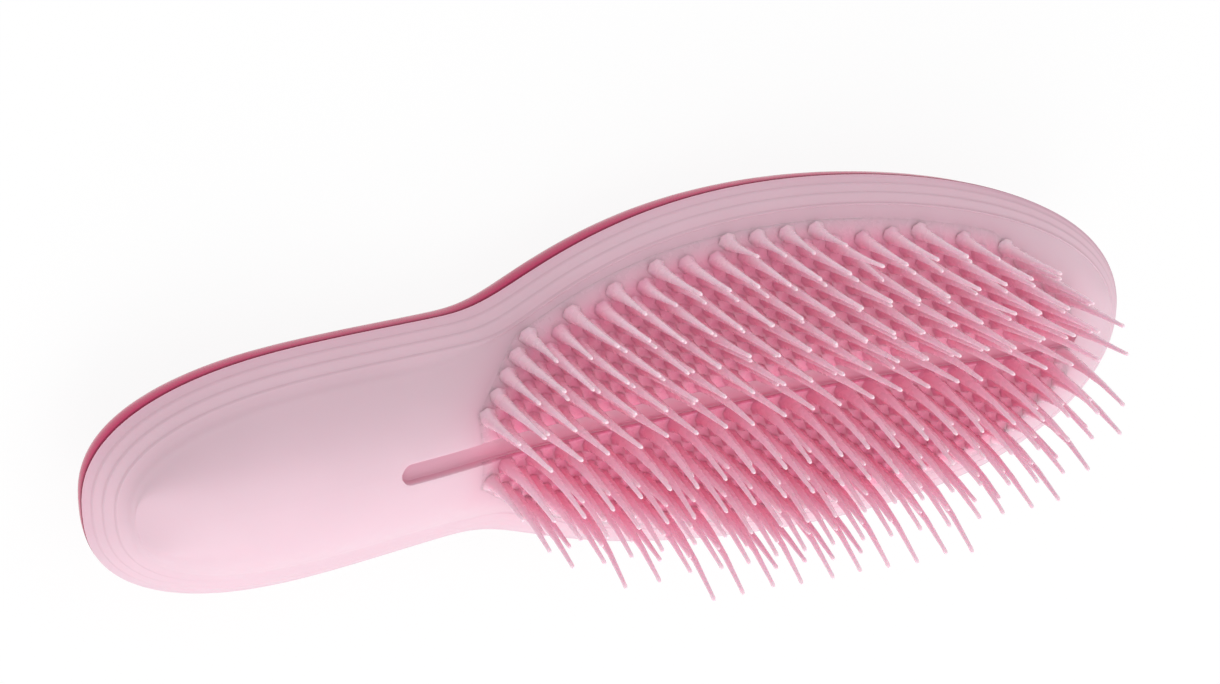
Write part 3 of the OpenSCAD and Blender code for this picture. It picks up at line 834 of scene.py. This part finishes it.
def front_looks(piece, shade_marks):
    """The values that the front shell's material reads, from its points' places and its rows' painted crease
    shade: painted deep pink shade, painted shade and painted shadow.
    """
    f = field()
    x, y, z = plan_points(piece)
    dist = field_distance(x, y)
    c, deep = channel_shape(x)
    below = face_height(x, y) - z
    above = np.abs(z - rim(x))
    among = ease(x, f["start"] - 9, f["start"] + 7)
    far_stop = ease(x, f["stop"] - 3, f["stop"] + 0.5)
    sunk_in = (np.abs(y) < c * 1.05) * np.clip((below - 0.5) / 0.8, 0, 1) * (below < 3) * deep

    # Painted deep pink shade in and near the field, in the channel, and along the parting line mostly on the
    # upper side
    on_handle, more_among, more_at_stop = CHANNEL_DEEP_SHADE
    channel_deep_shade = (on_handle + more_among * among + more_at_stop * far_stop) * sunk_in
    upper_edge_shade = sum(strength * np.exp(-above / run) for strength, run in UPPER_EDGE_SHADE) * ease(y, -14, 4)
    glow = np.maximum(np.maximum(painted_field_shade(np.abs(dist)), channel_deep_shade), upper_edge_shade)
    set_values(piece, "glow", np.clip(glow, 0, 1))

    # Painted shade in the creases, stronger on the handle's lower side, in a band before the panel on the upper
    # side, around the field, along the parting line at the far end and in the channel
    near, far, panel_shade = shade_marks.T
    creases = near + (far - near) * ease(x, 160, 212)
    creases *= 0.5 + 0.5 * ease(x, 4, 40) + UNDER_HANDLE * (1 - ease(x, 30, 75)) * ease(-y, 2, 14)
    before_panel = panel_shade * (1 - ease(x, 50, 70)) * ease(y, -8, 6)
    around_field = painted_edge_shade(dist) * (dist > 0) * (np.abs(below) < 0.4)
    parting = PARTING_DARK * np.exp(-((above / 0.5) ** 2)) * ease(x, 165, 205)
    on_handle, among_teeth = CHANNEL_DARK
    on_handle = on_handle * (1 - 0.5 * np.clip(-y / c, 0, 1))
    in_channel = (on_handle * (1 - among) + among_teeth * among * (1 - far_stop)) * sunk_in
    crease = np.maximum(creases + before_panel + around_field, parting) + in_channel
    set_values(piece, "crease", np.clip(crease, 0, 1))

    # Painted shadow on the channel floor among the teeth, strongest toward its lower side
    shade_side = np.clip(0.55 - y / c, 0, 1) * np.where(np.abs(y) > c * 0.88, 0.5, 1.0)
    set_values(piece, "shade", CHANNEL_SHADE * shade_side * sunk_in * among * (1 - far_stop))


class BRUSH_OT_front_shell(bpy.types.Operator):
    """Makes the pale front shell with its creases, its handle panel, its channel and a bed for each pad"""

    bl_idname = "brush.front_shell"
    bl_label = "Front shell"

    def execute(self, context):
        s, x = shells(), plan_columns()
        rows, shade_marks = border_rows(x)
        half = rows + face_rows(x)
        w = half_width(x, face_inset(x))
        inner = [level_row(x, INNER_EDGE)]
        inner += [face_row(x, w * share, -s.front_wall) for share in INNER_SHARES]
        section = closed_section(half, inner)
        piece, row_of = shaped_grid("front_shell_moulding", section)
        table = np.zeros((len(section), 3))
        table[: len(shade_marks)] = shade_marks
        mirrored = 2 * len(half) - len(shade_marks)
        table[mirrored : 2 * len(half), :2] = np.array(shade_marks)[::-1, :2]
        front_looks(piece, table[row_of])
        smoothed(piece, 38)
        dress(piece, satin_pink(), "front_plastic", "front_shell")
        return {"FINISHED"}


# The back shell

# Height of the band of painted shade at the parting line, half width at which the crown is full, and softness
# of the flat
PARTING_SHADE = 0.6
CROWN_FULL = 12.0
REST_SOFT = 0.12
# Turns of the rounding outside and inside, and shares of the width across the crown outside and inside
OUTER_TURNS = 12
INNER_TURNS = 6
OUTER_SHARES = (1, 0.93, 0.84, 0.74, 0.63, 0.51, 0.38, 0.25, 0.12)
INNER_CROWN_SHARES = (1, 0.66, 0.33)


def back_row(x, d, drop):
    """A row of the back drawn in by d, so far below the parting line."""
    o, s = outline(), shells()
    px = d + (o.length - 2 * d) * (x - s.panel_in) / (o.length - s.face_in - s.panel_in)
    return np.stack([px, half_width(px, d), above_rest(rim(px) - drop)], 1)


def crown_row(x, share, drop, crown):
    """A row of the back's crown at a share of its half width."""
    row = back_row(x, shells().back_round, 0)
    w = row[:, 1]
    z = rim(row[:, 0]) - drop - crown * (1 - share * share) * ease(w, 0, CROWN_FULL)
    return np.stack([row[:, 0], w * share, above_rest(z)], 1)


def above_rest(z):
    """The height, kept above the flat that the brush rests on."""
    rest = plan_origin()[2]
    return rest + np.log1p(np.exp((z - rest) / REST_SOFT)) * REST_SOFT


class BRUSH_OT_back_shell(bpy.types.Operator):
    """Makes the glossy back shell that rounds under to the flat that the brush rests on"""

    bl_idname = "brush.back_shell"
    bl_label = "Back shell"

    def execute(self, context):
        s, x = shells(), plan_columns()
        half = [back_row(x, s.groove, 0), back_row(x, 0, s.groove * 0.8)]
        half += [back_row(x, 0, PARTING_SHADE), back_row(x, 0, PARTING_SHADE + 0.15)]
        for k in range(1, OUTER_TURNS):
            angle = math.pi / 2 * k / OUTER_TURNS
            drop = max(s.back_depth * math.sin(angle), s.groove)
            half.append(back_row(x, s.back_round * (1 - math.cos(angle)), drop))
        half += [crown_row(x, share, s.back_depth, s.back_crown) for share in OUTER_SHARES]
        inner = []
        depth = s.back_depth + s.back_crown - s.rest_flat - s.back_wall
        for k in range(INNER_TURNS):
            angle = math.pi / 2 * k / INNER_TURNS
            d = s.back_wall + (s.back_round - s.back_wall) * (1 - math.cos(angle))
            inner.append(back_row(x, d, depth * math.sin(angle)))
        inner += [crown_row(x, share, depth, 0) for share in INNER_CROWN_SHARES]
        piece, _ = shaped_grid("back_shell_moulding", closed_section(half, inner))
        px, _, pz = plan_points(piece)
        # Painted shade in the band along the parting line
        set_values(piece, "crease", np.abs(pz - rim(px)) < PARTING_SHADE + 0.02)
        smoothed(piece, 40)
        dress(piece, gloss_pink(), "back_plastic", "back_shell")
        return {"FINISHED"}


# The teeth

# Rings of the longest tooth from its foot, and below its tip: height and radius
TOOTH_RINGS = ((-0.3, 2.12), (0.2, 1.76), (1.0, 1.49), (3.6, 1.22), (7.8, 0.88), (13.4, 0.58))
TIP_RINGS = ((1.3, 0.40), (0.45, 0.44), (0.0, 0.25))
LONGEST = 20.5
TIP_LENGTH = TIP_RINGS[0][0]
TIP_SPARE = 0.15
TOOTH_SIDES = 8
# Rows across a bed, width of its lip along the channel and thickness of its two ends
BED_ROWS = 48
BED_LIP = 0.2
THIN_END = 0.02
# How strong the painted deep pink shade is at a tooth's foot and how fast that fades, in the upper and the
# lower field
ROOTS = {1: (0.55, 2.0), -1: (0.72, 1.05)}
# Painted shadow on a bed: how far behind a foot it lies, its reach, its strength along the lower lip and in all
FOOT_SHADE_BACK = 2.0
FOOT_SHADE_REACH = 1.4
LIP_SHADE = 0.8
LIP_SHADE_REACH = 2.0
BED_SHADE = 0.42
# Strength of the painted shade along the field's edge on a bed
BED_EDGE_SHADE = 1.15
# How far from the field's edge the bed and the teeth still take the shell's paler colour
BED_EDGE = 8
TEETH_EDGE = 5
# Share of a tooth's length at which the painted highlight at its tip starts, and the run over which it comes in
TIP_FROM = 0.93
TIP_RUN = 0.04


def one_tooth():
    """A tooth of the longest kind, drawn up ring by ring from a circle."""
    low, wide = TOOTH_RINGS[0]
    bpy.ops.mesh.primitive_circle_add(vertices=TOOTH_SIDES, radius=wide * MM, location=(0, 0, low * MM))
    tooth = bpy.context.object
    tooth.name = "tooth_pattern"
    bpy.ops.object.transform_apply(location=True)
    start_edit()
    rings = [*TOOTH_RINGS, *((LONGEST - h, r) for h, r in TIP_RINGS)]
    for (h0, r0), (h1, r1) in zip(rings, rings[1:]):
        bpy.ops.mesh.extrude_region_move(TRANSFORM_OT_translate={"value": (0, 0, (h1 - h0) * MM)})
        bpy.ops.transform.resize(value=(r1 / r0, r1 / r0, 1), center_override=(0, 0, h1 * MM))
    bpy.ops.mesh.edge_face_add()
    end_edit()
    return tooth


def tooth_bed(side, label):
    """The slice of pad that the teeth of one field grow from."""
    f, x = field(), plan_columns()
    x = x[in_pad(x, f, END_RUN)]
    c, _ = channel_shape(x)
    reach = f["reach"](np.clip(x, f["start"], f["stop"]))
    lip = np.minimum(c + BED_LIP, reach)
    thick = np.where(in_pad(x, f), teeth().pad_thick, THIN_END)
    rows = [face_row(x, c, -thick), face_row(x, c, -thick * 0.12), face_row(x, lip, 0)]
    rows += [face_row(x, lip + (reach - lip) * k / BED_ROWS, 0) for k in range(1, BED_ROWS + 1)]
    rows += [face_row(x, c + (reach - c) * share, -thick) for share in (1, 0.66, 0.33, 0)]
    bed, _ = shaped_grid("tooth_bed_" + label, [row * (1, side, 1) for row in rows])
    return bed


def bed_looks(bed, side):
    """The values that the teeth's material reads on a bed: painted deep pink shade, painted shadow, painted
    edge shade and the shell's colour near the edge.
    """
    c, f = shells().channel_width / 2, field()
    x, y, _ = plan_points(bed)
    dist = field_distance(x, y)
    feet = np.array([(px, side * py) for px, py, _ in f["teeth"]])
    behind_foot = np.hypot(x[:, None] - feet[:, 0] + FOOT_SHADE_BACK, y[:, None] - feet[:, 1]).min(1)
    foot_shade = np.exp(-((behind_foot / FOOT_SHADE_REACH) ** 2))
    lip_shade = LIP_SHADE * np.exp(-(((np.abs(y) - c) / LIP_SHADE_REACH) ** 2)) * (side < 0)
    inwards = np.clip(painted_field_shade(dist) / 0.9, 0, 1)
    set_values(bed, "glow", painted_field_shade(dist))
    # Painted shadow behind each foot and along the lower lip, and painted shade along the field's edge
    set_values(bed, "shade", BED_SHADE * np.maximum(foot_shade, lip_shade) * inwards)
    set_values(bed, "crease", BED_EDGE_SHADE * painted_edge_shade(dist))
    set_values(bed, "edge", np.clip(1 + dist / BED_EDGE, 0, 1))
    set_values(bed, "tip", np.zeros(len(x)))


def stood_tooth(tooth, co, place, side, sway):
    """Stands a copy of the pattern on its foot at its own length and lean, and gives its heights and shares."""
    px, py, j = place
    length, bend = tooth_size(py, j, side)
    length -= TIP_SPARE
    tip_from = LONGEST - TIP_LENGTH
    z = co[:, 2]
    stretched = np.where(z > 0, z * (length - TIP_LENGTH) / tip_from, z)
    z = np.where(z > tip_from - CLOSE, z + length - LONGEST, stretched)
    part = np.clip(z / length, 0, 1)
    lean = sway[1] + side * bend
    slope = 2 * lean * part / length
    turn = np.sqrt(1 + slope**2)
    x = px + co[:, 0] + part**2 * sway[0]
    y = side * py + co[:, 1] / turn + part**2 * lean
    y = side * np.maximum(side * y, shells().channel_width / 2 + 0.03)
    points = np.stack([x, y, float(face_height(px, py)) + z - co[:, 1] * slope / turn], 1)
    tooth.data.vertices.foreach_set("co", in_place(points).ravel())
    return z, part


def tooth_looks(tooth, co, z, part, away, side):
    """The values that the material reads on a tooth whose foot is so far inside the field: painted deep pink
    shade, painted shade, a painted highlight and the shell's colour.
    """
    root, fade = ROOTS[side]
    glow = float(painted_field_shade(away))
    at_border = np.clip(1 + away / TEETH_EDGE, 0, 1)
    # Painted deep pink shade at the foot, and painted shade on the foot's -X side
    foot = 0.35 * np.clip(1 - z / 1.2, 0, 1)
    flank = 0.35 * np.clip(-co[:, 0], 0, 1) * np.clip(1 - part * 4, 0, 1)
    # Border teeth take the shell's colour, less at the foot, where the lighter tooth colour is painted light
    # against the foot's shade
    set_values(tooth, "edge", at_border * (0.35 + 0.65 * np.clip(part * 5, 0, 1)))
    # Painted highlight at the tip, and a little of its colour along the border teeth
    set_values(tooth, "tip", np.maximum(np.clip((part - TIP_FROM) / TIP_RUN, 0, 1), 0.3 * at_border))
    set_values(tooth, "glow", np.clip(glow * (root * np.clip(1 - part * fade, 0, 1) + foot), 0, 0.9))
    set_values(tooth, "shade", glow * flank)


class BRUSH_OT_tooth_fields(bpy.types.Operator):
    """Makes the two fields of teeth, each with the slice of pad that they grow from"""

    bl_idname = "brush.tooth_fields"
    bl_label = "Tooth fields"

    def execute(self, context):
        t, f = teeth(), field()
        mat = tooth_pink()
        pattern = one_tooth()
        co = points_of(pattern) / MM
        px, py, _ = np.array(f["teeth"]).T
        away = field_distance(px, py)
        rng = np.random.default_rng(7)
        for side, label in ((1, "upper"), (-1, "lower")):
            bed = tooth_bed(side, label)
            bed_looks(bed, side)
            copies = [bed]
            for place, inside in zip(f["teeth"], away):
                tooth = pattern.copy()
                tooth.data = pattern.data.copy()
                context.collection.objects.link(tooth)
                z, part = stood_tooth(tooth, co, place, side, rng.normal(0, t.sway, 2))
                tooth_looks(tooth, co, z, part, inside, side)
                copies.append(tooth)
            bpy.ops.object.select_all(action="DESELECT")
            for obj in copies:
                obj.select_set(True)
            context.view_layer.objects.active = bed
            bpy.ops.object.join()
            bed.name = bed.data.name = "tooth_field_" + label
            smoothed(bed, 60)
            dress(bed, mat, "tooth_plastic", "tooth_pad_" + label)
        bpy.data.objects.remove(pattern, do_unlink=True)
        return {"FINISHED"}


# The studio, in metres, watts and degrees

FLOOR_RADIUS = 3.0
FLOOR_BORDER = 2.2
FLOOR_THICK = 0.02
# Name, place, size and power of each lamp, and the place that all of them face
LAMPS = (
    ("low_side_lamp", (-0.25, -0.80, 0.75), 0.9, 5.6),
    ("top_lamp", (0.15, -0.25, 1.25), 1.0, 2.9),
    ("head_side_lamp", (1.0, 0.10, 0.70), 0.25, 0.6),
)
LAMP_AIM = (0, 0, 0.02)
SKY_COLOUR = (1.0, 0.99, 0.995, 1.0)
SKY_STRENGTH = 0.71
CAMERA_PLACE = (-0.20773, 0.18912, 0.42112)
CAMERA_TURN = (-20.8672, -27.1447, -1.2756)
CAMERA_LENS = 74.567


def studio_floor():
    """A round slab whose top the brush rests on."""
    bpy.ops.mesh.primitive_circle_add(vertices=96, radius=FLOOR_RADIUS, fill_type="NGON", location=(0, 0, 0))
    floor = bpy.context.object
    floor.name = "studio_floor"
    start_edit()
    bpy.ops.mesh.inset(thickness=FLOOR_BORDER)
    bpy.ops.mesh.select_all(action="SELECT")
    bpy.ops.mesh.extrude_region_move(TRANSFORM_OT_translate={"value": (0, 0, -FLOOR_THICK)})
    end_edit()
    floor.data.materials.append(floor_white())


def studio_lamp(name, place, size, power):
    bpy.ops.object.light_add(type="AREA", location=place)
    lamp = bpy.context.object
    lamp.name = name
    lamp.data.shape = "DISK"
    lamp.data.size = size
    lamp.data.energy = power
    lamp.rotation_euler = (Vector(place) - Vector(LAMP_AIM)).to_track_quat("Z", "Y").to_euler()


def studio_sky():
    """An even pale light, and plain white where the camera or a reflection sees it."""
    world = bpy.data.worlds.new("studio_sky")
    world.use_nodes = True
    tree = world.node_tree
    tree.nodes.clear()
    out = node(tree, "ShaderNodeOutputWorld")
    soft, plain = node(tree, "ShaderNodeBackground"), node(tree, "ShaderNodeBackground")
    set_sockets(soft, {"Color": SKY_COLOUR, "Strength": SKY_STRENGTH})
    set_sockets(plain, {"Color": (1.0, 1.0, 1.0, 1.0)})
    blend = node(tree, "ShaderNodeMixShader")
    tree.links.new(seen_directly(tree), blend.inputs[0])
    tree.links.new(soft.outputs[0], blend.inputs[1])
    tree.links.new(plain.outputs[0], blend.inputs[2])
    tree.links.new(blend.outputs[0], out.inputs["Surface"])
    return world


class BRUSH_OT_studio(bpy.types.Operator):
    """Makes the pale floor, the soft lamps, the sky and the camera"""

    bl_idname = "brush.studio"
    bl_label = "Studio"

    def execute(self, context):
        studio_floor()
        for lamp in LAMPS:
            studio_lamp(*lamp)
        bpy.ops.object.camera_add(location=CAMERA_PLACE)
        camera = context.object
        camera.name = "studio_camera"
        camera.rotation_euler = [math.radians(v) for v in CAMERA_TURN]
        camera.data.sensor_width = 36.0
        camera.data.sensor_fit = "HORIZONTAL"
        camera.data.lens = CAMERA_LENS
        camera.data.clip_start = 0.01
        scene = context.scene
        scene.world = studio_sky()
        scene.camera = camera
        scene.view_settings.view_transform = "Standard"
        return {"FINISHED"}


class BRUSH_PT_panel(bpy.types.Panel):
    """Lists the steps that build the brush, with their sizes and colours"""

    bl_label = "Detangling brush"
    bl_idname = "BRUSH_PT_panel"
    bl_space_type = "VIEW_3D"
    bl_region_type = "UI"
    bl_category = "Brush"

    def draw(self, context):
        for step in STEPS:
            self.layout.operator(step.bl_idname)
        for name, group in GROUPS:
            box = self.layout.box()
            for key in group.__annotations__:
                box.prop(getattr(context.scene, name), key)


STEPS = (BRUSH_OT_front_shell, BRUSH_OT_back_shell, BRUSH_OT_tooth_fields, BRUSH_OT_studio)
GROUPS = (
    ("brush_outline", BrushOutline),
    ("brush_shells", BrushShells),
    ("brush_teeth", BrushTeeth),
    ("brush_finish", BrushFinish),
)


def register():
    for name, group in GROUPS:
        bpy.utils.register_class(group)
        setattr(bpy.types.Scene, name, bpy.props.PointerProperty(type=group))
    for item in (*STEPS, BRUSH_PT_panel):
        bpy.utils.register_class(item)


def unregister():
    for item in reversed((*STEPS, BRUSH_PT_panel)):
        bpy.utils.unregister_class(item)
    for name, group in reversed(GROUPS):
        delattr(bpy.types.Scene, name)
        bpy.utils.unregister_class(group)


def main():
    register()
    bpy.ops.brush.front_shell()
    bpy.ops.brush.back_shell()
    bpy.ops.brush.tooth_fields()
    bpy.ops.brush.studio()


if __name__ == "__main__":
    main()
